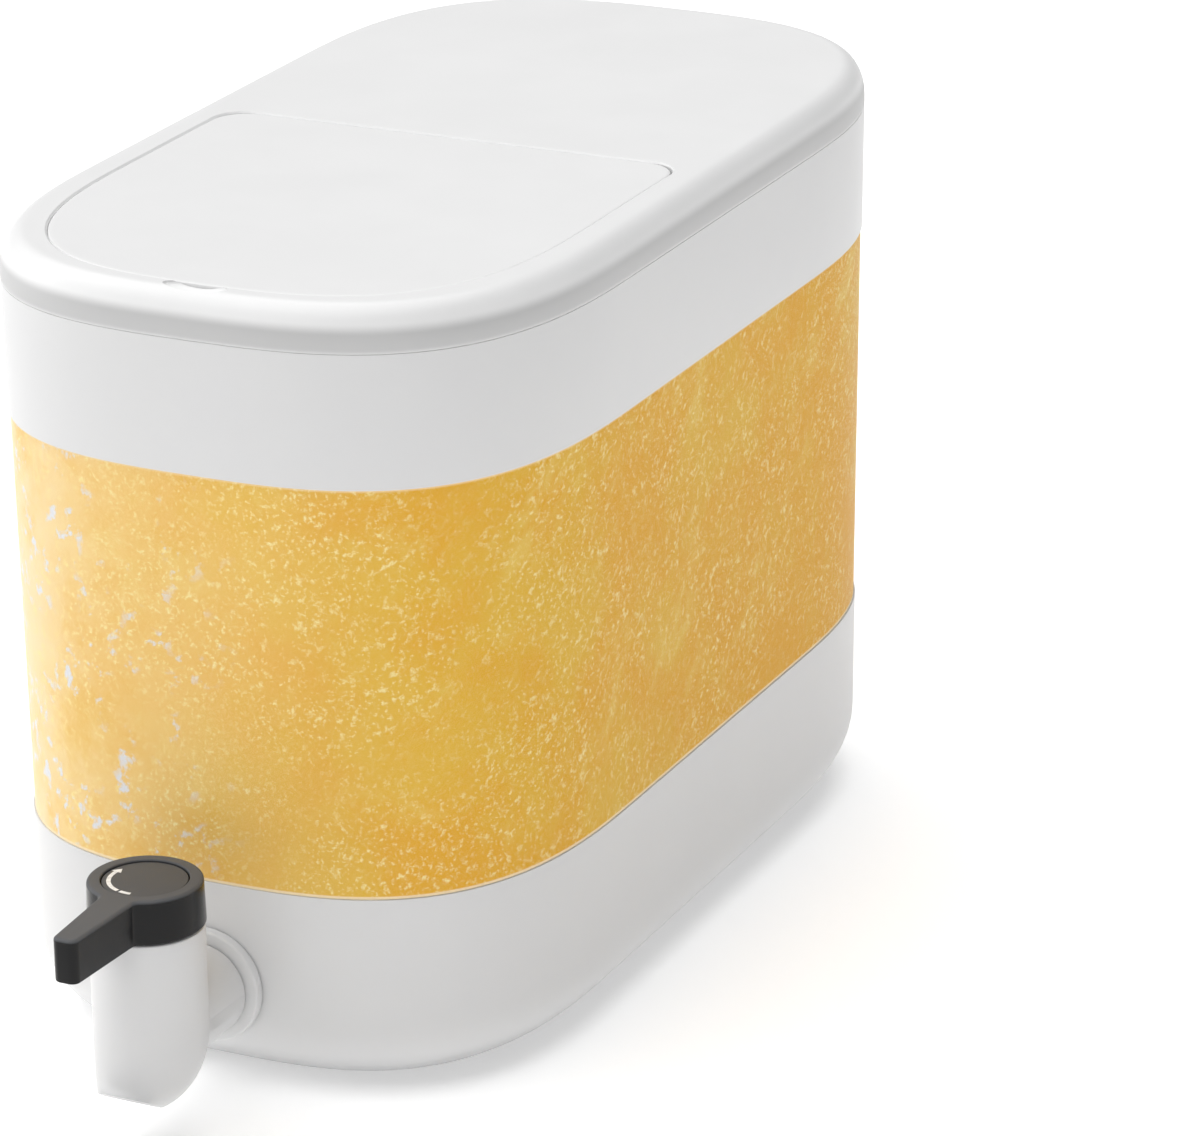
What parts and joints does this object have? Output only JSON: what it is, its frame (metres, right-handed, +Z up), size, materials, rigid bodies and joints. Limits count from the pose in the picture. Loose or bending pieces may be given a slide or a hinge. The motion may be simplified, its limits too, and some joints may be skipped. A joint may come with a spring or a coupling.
{
  "type": "beverage dispenser",
  "caption": "Oval drink dispenser with a clear window band, a lift-off lid with a hinged fill flap, and a rotary tap with a lever.",
  "frame": {"origin": "centre of the body's flat base, on the surface it stands on", "axes": "+Z up, -Y towards the tap, +X to the right when looking along +Y from the tap end"},
  "size_m": [0.135, 0.3092, 0.1809],
  "materials": {
    "clear_tank": "clear moulded plastic, polished",
    "white_body": "white plastic, satin",
    "white_lid": "white plastic, satin",
    "white_tap": "white plastic, satin",
    "silicone": "soft silicone, matt",
    "black_knob": "black plastic, semi-gloss",
    "steel": "stainless steel"
  },
  "bodies": {
    "tank": {"tank": "clear_tank", "upper_collar": "white_body", "base_shell": "white_body", "tap_body": "white_tap", "outer_washer": "silicone", "inner_washer": "silicone", "lock_nut": "white_tap", "bonnet_nut": "white_tap"},
    "lid": {"lid_frame": "white_lid", "lid_gasket": "silicone", "hinge_pin_left": "steel", "hinge_pin_right": "steel"},
    "flap": {"flap": "white_lid", "flap_seal": "silicone"},
    "knob": {"knob": "black_knob", "knob_cap": "black_knob", "knob_screw": "steel", "valve_plug": "white_tap", "valve_ring_upper": "silicone", "valve_ring_lower": "silicone"}
  },
  "joints": [
    {"name": "lid_lift", "type": "slide", "parent": "tank", "child": "lid", "axis": [0, 0, 1], "range_m": [0, 0.12]},
    {"name": "flap_hinge", "type": "hinge", "parent": "lid", "child": "flap", "pos_m": [0, -0.009, 0.1782], "axis": [-1, 0, 0], "range_deg": [0, 100]},
    {"name": "knob_turn", "type": "hinge", "parent": "tank", "child": "knob", "pos_m": [0, -0.1495, 0.054], "axis": [0, 0, 1], "range_deg": [-90, 90]}
  ]
}
